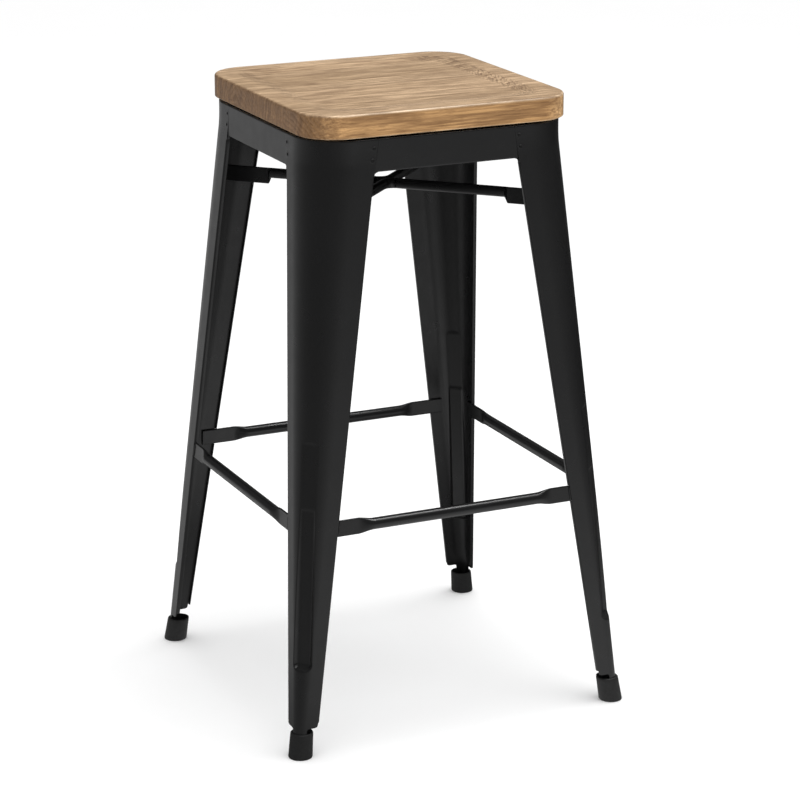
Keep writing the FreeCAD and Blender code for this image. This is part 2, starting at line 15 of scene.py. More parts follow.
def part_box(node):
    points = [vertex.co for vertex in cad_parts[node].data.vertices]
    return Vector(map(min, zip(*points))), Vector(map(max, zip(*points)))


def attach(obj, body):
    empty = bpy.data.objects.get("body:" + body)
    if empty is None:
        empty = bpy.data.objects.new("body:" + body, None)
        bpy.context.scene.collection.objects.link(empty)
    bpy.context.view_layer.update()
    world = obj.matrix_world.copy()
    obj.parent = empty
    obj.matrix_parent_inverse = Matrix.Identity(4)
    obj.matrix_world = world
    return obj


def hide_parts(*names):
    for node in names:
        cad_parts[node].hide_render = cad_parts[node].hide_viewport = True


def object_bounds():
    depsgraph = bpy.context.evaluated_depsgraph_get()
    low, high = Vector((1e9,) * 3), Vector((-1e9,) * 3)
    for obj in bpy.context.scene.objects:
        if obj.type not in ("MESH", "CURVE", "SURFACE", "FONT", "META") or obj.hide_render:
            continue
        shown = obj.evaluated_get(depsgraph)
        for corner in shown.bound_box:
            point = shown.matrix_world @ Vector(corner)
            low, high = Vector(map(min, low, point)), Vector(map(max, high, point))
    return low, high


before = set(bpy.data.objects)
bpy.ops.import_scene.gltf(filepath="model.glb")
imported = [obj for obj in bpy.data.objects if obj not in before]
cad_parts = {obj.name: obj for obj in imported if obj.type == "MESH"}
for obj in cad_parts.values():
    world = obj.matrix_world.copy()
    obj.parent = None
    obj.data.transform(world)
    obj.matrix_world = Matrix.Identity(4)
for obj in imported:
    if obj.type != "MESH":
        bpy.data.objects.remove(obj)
cad_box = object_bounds()

MM = 0.001

# Places taken from the frame
SEAT_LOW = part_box("seat_stave_front")[0].z / MM
SEAT_TOP = cad_box[1].z / MM
FRAME_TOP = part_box("apron_front")[1].z / MM
SEAT_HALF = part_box("seat_stave_front")[1].x / MM
STAVE_NODES = ("seat_stave_front", "seat_stave_mid_front", "seat_stave_mid_back", "seat_stave_back")
STAVE_WIDTH = 2 * SEAT_HALF / len(STAVE_NODES)

# Seat
SEAT_CORNER = 47.0
TOP_ROUND = 3.0
BOTTOM_ROUND = 1.5
DISH_INSET = 22.0
DISH_RUN = 30.0
DISH_DEPTH = 3.0
DISH_CORNER_SHARE = 0.55      # of its inset that the dish's corner radius loses
DISH_CORNER_LEAST = 12.0
OUTLINE_POINTS = (19, 14)     # round each corner, and divisions of each side

# Leg: outer faces, free edges, rounded corner. Sizes run straight from z = 0 to LEG_REF.
SHEET = 1.2
LEG_REF = 700.0
FACE = (219.7, 170.2)
WING = (25.6, 78.6)
CORNER = (9.6, 60.5)
FOLD = 2.0
LIP = 5.0
LIP_TOP = 686.0
BEND = (695.0, 719.0)
LEG_FOOT = 5.0
WING_BOTTOM = 36.0
FREE_ROUND = 6.0
ROOT_ROUND = 3.0
TONGUE_SPARE = 0.4
CROWN = 1.7
LEDGE = 10.0
SHEET_EDGE = 0.22             # bevel on the sheet's cut edges
MIDDLE_REACH = 13.2           # across the diagonal: the finely divided middle of a leg's section
EDGE_BAND = 7.4               # along a face: the finely divided band at its free edge
RAIL_ROWS = (10.0, 10.15)     # rows of the leg above and below a rail's middle
NOTCH_HALF = 10.05            # cells of the lip nearer than this are left out, where the rail passes

# Pressed groove along the leg's corner, across and along the diagonal
GROOVE_CHORD = 16.5 / math.sqrt(2)
GROOVE_DEEP = 15.7
GROOVE_HALF = 8.5
GROOVE_SOFT = 1.6
GROOVE_BOTTOM = (104.0, 113.0)
GROOVE_TOP = (297.0, 309.0)
LEAD_TOP = (376.0, 384.0)
LEAD_DEEP = 1.4
GROOVE_START = 2.0            # how far in front of the corner the groove's floor starts to press in
LEAD_START = 1.0
LEAD_SOFT = 0.6

# Spot welds: a dimple with a low rim
SPOT_HEIGHTS = (705.0, 719.0)
SPOT_INSET = 4.5
SPOT_RADIUS = 2.2
SPOT_DEEP = 0.9
SPOT_REACH = 1.6              # of its radius that the dimple and its rim reach
SPOT_RIM = (0.2, 1.15)        # height as a share of the depth, place as a share of the radius

# Rails, brace, welds and caps
TUBE_POINTS = 56
RAIL_HEIGHT = 274.7
RAIL_RADIUS = 7.0
RAIL_TAB = (1.3, 10.0)
RAIL_FLARE = (108.0, 129.0)
RAIL_END = 171.0
BRACE_HEIGHT = 636.2
BRACE_RADIUS = 6.3
BRACE_BEND = 14.0
BRACE_TAB = (1.5, 10.1)
BRACE_FLARE = (151.5, 155.5)
RAIL_WELD = (8.8, 1.15)       # half length and radius of a bead
RAIL_WELD_PLACE = (0.3, 1.35) # inside the leg's free edge and behind its face
BRACE_WELD = (8.5, 2.4)
BRACE_WELD_RISE = 3.6
WELD_POINTS = 14
WELD_STEP = 0.45
GAP = 0.15
CAP_CENTRE = 210.4
CAP_LEAN = 0.125
CAP_RADII = (14.6, 13.7)
CAP_HEIGHT = 30.0
CAP_BASE = 4.6
CAP_EDGE = 1.6
CAP_POINTS = 72
AXIS = 0.01                   # radius of the ring that closes a turned shape on its axis

LEG_TURNS = {"leg_back_right": 0, "leg_back_left": 90, "leg_front_left": 180, "leg_front_right": 270}
RAIL_TURNS = {"footrest_rail_front": 0, "footrest_rail_right": 90,
              "footrest_rail_back": 180, "footrest_rail_left": 270}
BRACE_TURNS = {"brace_tube_back": 0, "brace_tube_front": 180}


# ---------------------------------------------------------------- shapes

def at_floor_and_ref(pair, z):
    return pair[0] + (pair[1] - pair[0]) * z / LEG_REF


def face_at(z):
    """Distance of a leg's outer face from the Z axis."""
    slope = (FACE[0] - FACE[1]) / LEG_REF
    run = np.clip(z - BEND[0], 0, BEND[1] - BEND[0])
    return FACE[0] - slope * (np.minimum(z, BEND[0]) + run) + slope * run * run / (2 * (BEND[1] - BEND[0]))


def wing_at(z):
    """Width of a leg's face, from the sharp corner to its free edge."""
    return at_floor_and_ref(WING, z) - at_floor_and_ref(FACE, z) + face_at(z)


def corner_at(z):
    """Outer radius of a leg's rounded corner."""
    return at_floor_and_ref(CORNER, np.minimum(z, LEG_REF))


def apex_at(z):
    return corner_at(z) * (math.sqrt(2) - 1)


def smooth_max(a, b, soft):
    """The larger of two numbers, with the change from one to the other rounded off."""
    near = np.maximum(soft - np.abs(a - b), 0) / soft
    return np.maximum(a, b) + near * near * soft / 4


def smoothstep(t):
    t = np.clip(t, 0, 1)
    return t * t * (3 - 2 * t)


def corner_depth(across, z, inset):
    """Depth of the leg's outside below its sharp corner, along the diagonal."""
    radius = corner_at(z) - inset
    arc = radius * math.sqrt(2) - np.sqrt(np.maximum(radius * radius - across * across, 0))
    return np.where(across < radius / math.sqrt(2), arc, across)


def pressed_depth(across, z):
    """Depth of the pressed groove, and of the shallow flat above it."""
    apex = apex_at(z)
    slope = (GROOVE_DEEP - GROOVE_CHORD) / (GROOVE_CHORD - GROOVE_HALF)
    rise = smoothstep((z - GROOVE_BOTTOM[0]) / (GROOVE_BOTTOM[1] - GROOVE_BOTTOM[0]))
    fall = smoothstep((GROOVE_TOP[1] - z) / (GROOVE_TOP[1] - GROOVE_TOP[0]))
    floor = apex - GROOVE_START + (GROOVE_DEEP - apex + GROOVE_START) * rise * fall
    groove = floor - slope * smooth_max(across - GROOVE_HALF, 0.0, 2.0)
    lead_on = rise * smoothstep((LEAD_TOP[1] - z) / (LEAD_TOP[1] - LEAD_TOP[0]))
    lead = apex - LEAD_START + (LEAD_DEEP + LEAD_START) * lead_on
    return groove, lead


def leg_columns():
    """Columns of one half of a leg's section, from the middle of its corner to its lip.

    Each is (kind, value): across the diagonal, a share of the face, a distance from the free edge,
    an angle round the fold, or a share of the lip.
    """
    middle = [0, 1.5, 3, 4.5, 5.6, 6.4] + list(np.arange(6.96, MIDDLE_REACH, 0.36))
    columns = [("across", a) for a in middle]
    columns += [("share", t) for t in np.linspace(0, 1, 16)[1:-1]]
    columns += [("edge", e) for e in np.linspace(EDGE_BAND, FOLD, 15)]
    columns += [("fold", t) for t in np.linspace(0, 1, 6)[1:]]
    columns += [("lip", t) for t in (0.5, 1.0)]
    return columns


def column_bottom(distance):
    """Lowest point of the leg's sheet at a distance from the sharp corner along a face."""
    root = corner_at(WING_BOTTOM) + TONGUE_SPARE
    foot = corner_at(LEG_FOOT) + TONGUE_SPARE
    free = wing_at(WING_BOTTOM) - FREE_ROUND
    low = WING_BOTTOM - ROOT_ROUND
    if distance <= foot:
        return LEG_FOOT
    if distance <= root:
        return LEG_FOOT + (low - LEG_FOOT) * (distance - foot) / (root - foot)
    if distance <= root + ROOT_ROUND:
        return low + math.sqrt(max(ROOT_ROUND ** 2 - (root + ROOT_ROUND - distance) ** 2, 0))
    if distance <= free:
        return WING_BOTTOM
    out = min(distance - free, FREE_ROUND)
    return WING_BOTTOM + FREE_ROUND - math.sqrt(FREE_ROUND ** 2 - out ** 2)


def leg_rows():
    """Heights of the rows above the foot, closer together where the shape changes."""
    near, far = RAIL_ROWS
    parts = [
        np.linspace(60, 102, 5),
        np.arange(GROOVE_BOTTOM[0] - 1, GROOVE_BOTTOM[1] + 3, 0.9),
        np.linspace(118, 262, 12),
        [RAIL_HEIGHT - far, RAIL_HEIGHT - near, RAIL_HEIGHT + near, RAIL_HEIGHT + far],
        np.arange(GROOVE_TOP[0] - 4, GROOVE_TOP[1] + 4, 1.0),
        np.linspace(316, 372, 6),
        np.arange(LEAD_TOP[0] - 1, LEAD_TOP[1] + 3, 1.2),
        np.linspace(390, 680, 18),
        [LIP_TOP - 0.1, LIP_TOP + 0.1],
        np.linspace(690, 700, 5),
        np.arange(701, 723.5, 0.55),
        np.linspace(725, FRAME_TOP - CROWN, 4),
    ]
    return np.concatenate(parts)


def leg_point(column, z, inset):
    """Place of a column at height z: distances inwards from the sharp corner along x and along y."""
    kind, value = column
    wing = wing_at(z) - inset
    if kind in ("fold", "lip"):
        turn = math.pi / 2 * (value if kind == "fold" else 1.0)
        depth = FOLD * (1 - math.cos(turn)) + (value * (LIP - FOLD) if kind == "lip" else 0.0)
        return wing - FOLD + FOLD * math.sin(turn), depth
    if kind == "across":
        across = value
    elif kind == "share":
        across = MIDDLE_REACH + ((wing - EDGE_BAND) / math.sqrt(2) - MIDDLE_REACH) * value
    else:
        reach = value if z <= LIP_TOP else (value - FOLD) * EDGE_BAND / (EDGE_BAND - FOLD)
        across = (wing - reach) / math.sqrt(2)
    depth = corner_depth(np.float64(across), z, inset)
    if inset == 0.0:
        groove, lead = pressed_depth(np.float64(across), z)
        depth = smooth_max(smooth_max(depth, groove, GROOVE_SOFT), lead, LEAD_SOFT)
    x, y = (depth + across) / math.sqrt(2), (depth - across) / math.sqrt(2)
    edge = wing - x
    for spot in SPOT_HEIGHTS:
        away = math.hypot(edge - SPOT_INSET, z - spot) / SPOT_RADIUS
        if away < SPOT_REACH:
            rim = SPOT_RIM[0] * math.exp(-((away - SPOT_RIM[1]) * 5) ** 2)
            y += SPOT_DEEP * (math.exp(-(away * 1.5) ** 4) - rim)
    return x, y


def leg_grid():
    """Points of the leg's outer surface, and which of its cells are there."""
    half = leg_columns()
    columns = [(c, 1) for c in reversed(half)] + [(c, -1) for c in half[1:]]
    heights = leg_rows()
    spread = (0, 0.04, 0.1, 0.2, 0.35, 0.5, 0.65, 0.82)
    crown_turns = np.linspace(0, math.pi / 2, 6)[1:]
    ledge = (LEDGE * 0.5, LEDGE)
    n_rows = len(spread) + len(heights) + len(crown_turns) + len(ledge)
    points = np.zeros((n_rows, len(columns), 3))
    keep = np.ones((n_rows - 1, len(columns) - 1), bool)
    for c, (column, side) in enumerate(columns):
        bottom = WING_BOTTOM + FREE_ROUND
        if column[0] not in ("fold", "lip"):
            bottom = column_bottom(max(leg_point(column, WING_BOTTOM, 0.0)[0], 0))
        levels = [(bottom + (heights[0] - bottom) * s, 0.0) for s in spread]
        levels += [(z, 0.0) for z in heights]
        levels += [(FRAME_TOP - CROWN + CROWN * math.sin(t), CROWN * (1 - math.cos(t))) for t in crown_turns]
        levels += [(FRAME_TOP, inset) for inset in ledge]
        for r, (z, inset) in enumerate(levels):
            x, y = leg_point(column, z, inset)
            face = face_at(z) - inset
            points[r, c] = (face - x, face - y, z) if side > 0 else (face - y, face - x, z)
    levels = points[:, :, 2]
    middles = (levels[:-1, :-1] + levels[1:, :-1] + levels[:-1, 1:] + levels[1:, 1:]) / 4
    for c, pair in enumerate(zip(columns, columns[1:])):
        lip = any(kind == "lip" for (kind, _), _ in pair)
        fold = any(kind == "fold" for (kind, _), _ in pair)
        deep_fold = any(kind == "fold" and value > 0.5 for (kind, value), _ in pair)
        if lip or deep_fold:
            keep[:, c] &= np.abs(middles[:, c] - RAIL_HEIGHT) > NOTCH_HALF
        if lip or fold:
            keep[:, c] &= middles[:, c] < LIP_TOP
    return points, keep


def stadium(half_thick, half_tall, count):
    """Closed outline with round ends, as (sideways, up) pairs evenly spread by angle."""
    turns = np.linspace(0, 2 * math.pi, count, endpoint=False)
    straight = half_tall - half_thick
    up = half_tall * np.sin(turns)
    over = np.clip(np.abs(up) - straight, 0, half_thick)
    side = np.sqrt(np.maximum(half_thick ** 2 - over ** 2, 0)) * np.sign(np.cos(turns))
    side[np.abs(np.cos(turns)) < 1e-9] = 0
    return np.stack([side, up], 1)


def circle(radius, count):
    turns = np.linspace(0, 2 * math.pi, count, endpoint=False)
    return np.stack([radius * np.cos(turns), radius * np.sin(turns)], 1)


def flattened(radius, tab, share, count):
    """Section of a tube that is pressed flat by a share between 0 and 1."""
    return circle(radius, count) * (1 - share) + stadium(tab[0], tab[1], count) * share


# ---------------------------------------------------------------- meshes

@contextmanager
def edited(mesh):
    """A mesh as a bmesh, written back at the end."""
    work = bmesh.new()
    work.from_mesh(mesh)
    yield work
    work.to_mesh(mesh)
    work.free()


def linked(name, data):
    """New object in the scene."""
    obj = bpy.data.objects.new(name, data)
    bpy.context.scene.collection.objects.link(obj)
    return obj


def mesh_from_grid(name, points, keep=None, wrap=False):
    """Mesh from rows of points. wrap joins the last column to the first."""
    rows, cols = points.shape[:2]
    faces = []
    for r in range(rows - 1):
        for c in range(cols if wrap else cols - 1):
            if keep is not None and not keep[r, c]:
                continue
            d = (c + 1) % cols
            faces.append((r * cols + c, r * cols + d, (r + 1) * cols + d, (r + 1) * cols + c))
    mesh = bpy.data.meshes.new(name)
    mesh.from_pydata([Vector(p) * MM for p in points.reshape(-1, 3)], [], faces)
    with edited(mesh) as work:
        loose = [v for v in work.verts if not v.link_faces]
        bmesh.ops.delete(work, geom=loose, context="VERTS")
        bmesh.ops.remove_doubles(work, verts=work.verts, dist=1e-6)
    return mesh


def close_ends(mesh):
    """Caps the open ends of a tube."""
    with edited(mesh) as work:
        rims = [e for e in work.edges if e.is_boundary]
        bmesh.ops.holes_fill(work, edges=rims, sides=0)
        bmesh.ops.recalc_face_normals(work, faces=work.faces)


def new_piece(name, mesh, material, nodes, turn=0.0, angle=35.0):
    """Object from a mesh, turned about the Z axis, that stands for some CAD nodes."""
    mesh.transform(Matrix.Rotation(math.radians(turn), 4, "Z"))
    mesh.shade_smooth()
    mesh.set_sharp_from_angle(angle=math.radians(angle))
    piece = linked(name, mesh)
    mesh.materials.append(material)
    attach(piece, "root")
    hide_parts(*nodes)
    return piece


def applied(obj):
    """Mesh of an object with its modifiers applied. The object is removed."""
    bpy.context.view_layer.update()
    graph = bpy.context.evaluated_depsgraph_get()
    mesh = bpy.data.meshes.new_from_object(obj.evaluated_get(graph))
    bpy.data.objects.remove(obj)
    return mesh


def thickened(mesh):
    """Steel sheet inwards from the given surface, with a fine bevel on its cut edges."""
    scratch = linked("scratch", mesh)
    solid = scratch.modifiers.new("sheet", "SOLIDIFY")
    solid.thickness = SHEET * MM
    solid.offset = -1
    solid.use_even_offset = True
    bevel = scratch.modifiers.new("edge", "BEVEL")
    bevel.width = SHEET_EDGE * MM
    bevel.segments = 2
    bevel.limit_method = "ANGLE"
    bevel.angle_limit = math.radians(60)
    return applied(scratch)


def make_legs(steel):
    surface = mesh_from_grid("leg", *leg_grid())
    with edited(surface) as work:
        bmesh.ops.recalc_face_normals(work, faces=work.faces)
        outermost = max(work.faces, key=lambda face: face.calc_center_median().x)
        if outermost.normal.x < 0:
            bmesh.ops.reverse_faces(work, faces=work.faces)
    base = thickened(surface)
    for name, turn in LEG_TURNS.items():
        new_piece(name + "_sheet", base.copy(), steel, [name], turn)


def make_rails(steel):
    places = np.concatenate([np.linspace(0, RAIL_FLARE[0], 5)[:-1], np.linspace(*RAIL_FLARE, 17),
                             np.linspace(RAIL_FLARE[1], RAIL_END, 4)[1:]])
    places = np.concatenate([-places[:0:-1], places])
    rings = np.zeros((len(places), TUBE_POINTS, 3))
    for r, x in enumerate(places):
        share = float(smoothstep((abs(x) - RAIL_FLARE[0]) / (RAIL_FLARE[1] - RAIL_FLARE[0])))
        rings[r, :, 0] = x
        rings[r, :, 1:] = flattened(RAIL_RADIUS, RAIL_TAB, share, TUBE_POINTS)
    mesh = mesh_from_grid("rail", rings, wrap=True)
    close_ends(mesh)
    lean = math.atan((FACE[0] - FACE[1]) / LEG_REF)
    out = float(face_at(RAIL_HEIGHT)) - (SHEET + GAP + RAIL_TAB[0]) / math.cos(lean)
    mesh.transform(Matrix.Translation((0, -out * MM, RAIL_HEIGHT * MM)) @ Matrix.Rotation(-lean, 4, "X"))
    for name, turn in RAIL_TURNS.items():
        new_piece(name + "_tube", mesh.copy(), steel, [name], turn)


def inner_corner_at(z):
    """Distance of the inside of a leg's rounded corner from the Z axis, along the diagonal."""
    radius = corner_at(z)
    return (face_at(z) - radius) * math.sqrt(2) + radius - SHEET


def brace_rings():
    """Rings round a bent brace tube, from the flat end at -X to the one at +X."""
    top = BRACE_HEIGHT + BRACE_RADIUS
    low = top - 2 * BRACE_TAB[1]
    drop = BRACE_TAB[1] - BRACE_RADIUS
    shift = BRACE_RADIUS + GAP - BRACE_BEND * (math.sqrt(2) - 1)
    ends = [float(inner_corner_at(z)) - GAP - shift * math.sqrt(0.5) for z in (low, top)]
    arm = np.concatenate([np.linspace(BRACE_BEND, BRACE_FLARE[0], 6)[:-1], np.linspace(*BRACE_FLARE, 15),
                          np.linspace(BRACE_FLARE[1], min(ends), 5)[1:]])
    bend_turns = np.linspace(0, 90, 13)[1:-1]
    rings = []
    for side in (-1, 1):
        for along in (arm[::-1] if side < 0 else arm):
            share = float(smoothstep((along - BRACE_FLARE[0]) / (BRACE_FLARE[1] - BRACE_FLARE[0])))
            section = flattened(BRACE_RADIUS, BRACE_TAB, share, TUBE_POINTS)
            z = BRACE_HEIGHT - drop * share + section[:, 1]
            reach = np.full(TUBE_POINTS, along)
            if along >= min(ends):
                reach = ends[0] + (ends[1] - ends[0]) * (z - low) / (top - low)
            x = side * (reach - side * section[:, 0]) * math.sqrt(0.5)
            y = (reach + side * section[:, 0]) * math.sqrt(0.5) + shift
            rings.append(np.stack([x, y, z], 1))
        if side < 0:
            for turn in bend_turns:
                angle = math.radians(-135 + turn)
                section = circle(BRACE_RADIUS, TUBE_POINTS)
                radius = BRACE_BEND - section[:, 0]
                x = radius * math.cos(angle)
                y = BRACE_BEND * math.sqrt(2) + radius * math.sin(angle) + shift
                rings.append(np.stack([x, y, BRACE_HEIGHT + section[:, 1]], 1))
    return np.array(rings)


def make_braces(steel):
    mesh = mesh_from_grid("brace", brace_rings(), wrap=True)
    close_ends(mesh)
    for name, turn in BRACE_TURNS.items():
        new_piece(name + "_bent", mesh.copy(), steel, [name], turn)


def weld_bead(start, end, size, seed):
    """Half-melted bead along a straight line, with ripples across it."""
    start, end = Vector(start), Vector(end)
    rows = max(int((end - start).length / WELD_STEP), 8)
    axis = (end - start).normalized()
    side = axis.orthogonal().normalized()
    other = axis.cross(side)
    dice = np.random.default_rng(seed)
    rings = np.zeros((rows, WELD_POINTS, 3))
    for r in range(rows):
        t = r / (rows - 1)
        taper = math.sqrt(max(1 - (2 * t - 1) ** 6, 0.02))
        ripple = 1 + 0.10 * math.sin(r * 2.1) + 0.05 * dice.uniform(-1, 1)
        middle = start.lerp(end, t)
        for c in range(WELD_POINTS):
            turn = 2 * math.pi * c / WELD_POINTS
            offset = (side * math.cos(turn) + other * math.sin(turn)) * size * taper * ripple
            rings[r, c] = middle + offset
    mesh = mesh_from_grid("bead", rings, wrap=True)
    close_ends(mesh)
    return mesh


def joined(meshes):
    """One mesh from several."""
    work = bmesh.new()
    for mesh in meshes:
        work.from_mesh(mesh)
    result = bpy.data.meshes.new("joined")
    work.to_mesh(result)
    work.free()
    return result


def make_welds(steel):
    beads = []
    half, radius = RAIL_WELD
    aside, behind = RAIL_WELD_PLACE
    for turn in range(4):
        for side in (-1, 1):
            ends = []
            for z in (RAIL_HEIGHT - half, RAIL_HEIGHT + half):
                edge = float(face_at(z) - wing_at(z))
                ends.append((side * (edge - aside), -(float(face_at(z)) - behind), z))
            bead = weld_bead(*ends, radius, turn * 2 + (side > 0))
            bead.transform(Matrix.Rotation(turn * math.pi / 2, 4, "Z"))
            beads.append(bead)
    new_piece("rail_weld_beads", joined(beads), steel, ["rail_welds"], angle=60)
    beads = []
    half, radius = BRACE_WELD
    for up in (-1, 1):
        z = BRACE_HEIGHT + up * BRACE_WELD_RISE
        beads.append(weld_bead((-half, 0, z), (half, 0, z), radius, 20 + up))
    new_piece("brace_weld_beads", joined(beads), steel, ["brace_welds"], angle=60)


def make_caps(rubber):
    """Moulded foot caps that lean with the legs' tongues."""
    turns = np.linspace(0, math.pi / 2, 6)
    low, high = CAP_RADII
    edge, wall_top = CAP_EDGE, CAP_HEIGHT - CAP_EDGE
    profile = [(AXIS, 0.0), (8.0, 0.0)]
    profile += [(low - edge + edge * math.sin(t), edge - edge * math.cos(t)) for t in turns]
    profile += [(low + (high - low) * z / CAP_HEIGHT, z) for z in (8, 16, 24, wall_top)]
    profile += [(high - edge + edge * math.cos(t), wall_top + edge * math.sin(t)) for t in turns[1:]]
    rings = [(radius, z, CAP_CENTRE - CAP_LEAN * z) for radius, z in profile]
    for z, flare in ((CAP_HEIGHT, 0.35), (CAP_HEIGHT - 0.4, 0.0), (CAP_BASE, 0.0)):
        rings.append((float(corner_at(z)) + GAP + flare, z, float(face_at(z) - corner_at(z))))
    rings.append((AXIS, CAP_BASE, rings[-1][2]))
    points = np.zeros((len(rings), CAP_POINTS, 3))
    for r, (radius, z, centre) in enumerate(rings):
        points[r, :, :2] = centre + circle(radius, CAP_POINTS)
        points[r, :, 2] = z
    mesh = mesh_from_grid("cap", points, wrap=True)
    close_ends(mesh)
    for name, turn in LEG_TURNS.items():
        node = name.replace("leg_", "foot_cap_")
        new_piece(node + "_rubber", mesh.copy(), rubber, [node], turn)


def rounded_outline(half, radius):
    """Points round a square with rounded corners, the same number for every size."""
    per_corner, per_side = OUTLINE_POINTS
    points = []
    for quarter in range(4):
        turn = quarter * math.pi / 2
        spin = np.array([[math.cos(turn), -math.sin(turn)], [math.sin(turn), math.cos(turn)]])
        for t in np.linspace(0, math.pi / 2, per_corner):
            corner = np.array([half - radius + radius * math.cos(t), half - radius + radius * math.sin(t)])
            points.append(spin @ corner)
        start, end = np.array([half - radius, half]), np.array([radius - half, half])
        for t in np.linspace(0, 1, per_side + 1)[1:-1]:
            points.append(spin @ (start + (end - start) * t))
    return np.array(points)


def board_rings():
    """Rings round the seat board, from the edge of its underside to the floor of its dish."""
    turns = np.linspace(0, math.pi / 2, 7)
    low, high = SEAT_LOW, SEAT_TOP
    levels = [(BOTTOM_ROUND * (1 - math.sin(t)), low + BOTTOM_ROUND * (1 - math.cos(t))) for t in turns]
    levels += [(0.0, z) for z in np.linspace(low + BOTTOM_ROUND, high - TOP_ROUND, 5)[1:-1]]
    levels += [(TOP_ROUND * (1 - math.cos(t)), high - TOP_ROUND + TOP_ROUND * math.sin(t)) for t in turns]
    rim = np.arange(6, DISH_INSET, 5)
    dish = np.linspace(DISH_INSET, DISH_INSET + DISH_RUN, 18)
    for inset in np.concatenate([rim, dish]):
        levels.append((inset, high - DISH_DEPTH * float(smoothstep((inset - DISH_INSET) / DISH_RUN))))
    rings = []
    for inset, z in levels:
        radius = SEAT_CORNER - inset
        if inset > TOP_ROUND:
            radius = max(SEAT_CORNER - inset * DISH_CORNER_SHARE, DISH_CORNER_LEAST)
        outline = rounded_outline(SEAT_HALF - inset, radius)
        rings.append(np.column_stack([outline, np.full(len(outline), z)]))
    return np.array(rings)


def make_seat(wood):
    """The seat board, cut into its staves along the glue lines."""
    mesh = mesh_from_grid("seat", board_rings(), wrap=True)
    close_ends(mesh)
    for i, node in enumerate(STAVE_NODES):
        work = bmesh.new()
        work.from_mesh(mesh)
        for side, y in ((-1, i * STAVE_WIDTH - SEAT_HALF), (1, (i + 1) * STAVE_WIDTH - SEAT_HALF)):
            if abs(y) > SEAT_HALF - 1:
                continue
            cut = bmesh.ops.bisect_plane(work, geom=work.verts[:] + work.edges[:] + work.faces[:],
                                         plane_co=(0, y * MM, 0), plane_no=(0, side, 0), clear_outer=True)
            rim = [e for e in cut["geom_cut"] if isinstance(e, bmesh.types.BMEdge)]
            bmesh.ops.edgenet_fill(work, edges=rim)
        bmesh.ops.recalc_face_normals(work, faces=work.faces)
        part = bpy.data.meshes.new(node)
        work.to_mesh(part)
        work.free()
        new_piece(node + "_wood", part, wood, [node], angle=40)


# ---------------------------------------------------------------- materials

# Colours are linear.
WHITE = (1, 1, 1, 1)
STEEL_COLOURS = ((0.0070, 0.0070, 0.0072, 1), (0.0092, 0.0092, 0.0095, 1))
RUBBER_COLOURS = ((0.009, 0.009, 0.009, 1), (0.014, 0.014, 0.014, 1))
ZINC_COLOURS = ((0.46, 0.47, 0.50, 1), (0.62, 0.62, 0.60, 1))
FLOOR_COLOURS = ((0.955, 0.955, 0.955, 1), (0.97, 0.97, 0.97, 1))
PALE_WOOD = (0.745, 0.530, 0.332, 1)
TAN_WOOD = (0.560, 0.385, 0.223, 1)
DARK_WOOD = (0.170, 0.095, 0.046, 1)
TORN_GRAIN = (0.13, 0.075, 0.042, 1)
# Dark end grain; on the board's left side it also paints shade.
END_GRAIN_AND_SHADE = (0.090, 0.040, 0.012, 1)
END_LINES = (0.34, 0.215, 0.125, 1)
# Painted highlight along the board's rounded top edge.
PAINTED_EDGE_HIGHLIGHT = (0.86, 0.66, 0.46, 1)
SIDE_SHADE = (0.93, 0.76, 0.52, 1)            # painted shade: factors that darken and warm the board's sides against its top
RIGHT_CORNER_LIGHT = (1.30, 1.42, 1.62, 1)     # painted light: factors that lighten the sides towards their right corners

# The pith that the growth rings run round, for each stave from the front: its place aside and up
# as shares of their ranges, and the stave's tone. Ranges and heights are in metres.
STAVE_PITHS = ((0.66, 0.20, 0.55), (0.10, 0.62, 0.75), (0.62, 0.25, 0.35), (0.12, 0.70, 0.30))
PITH_ASIDE = 0.14
PITH_HEIGHTS = (0.66, 0.76)
RINGS_PER_METRE = 150.0
STAVE_SHIFT = 3.1                             # along the grain, so that no two staves share a pattern


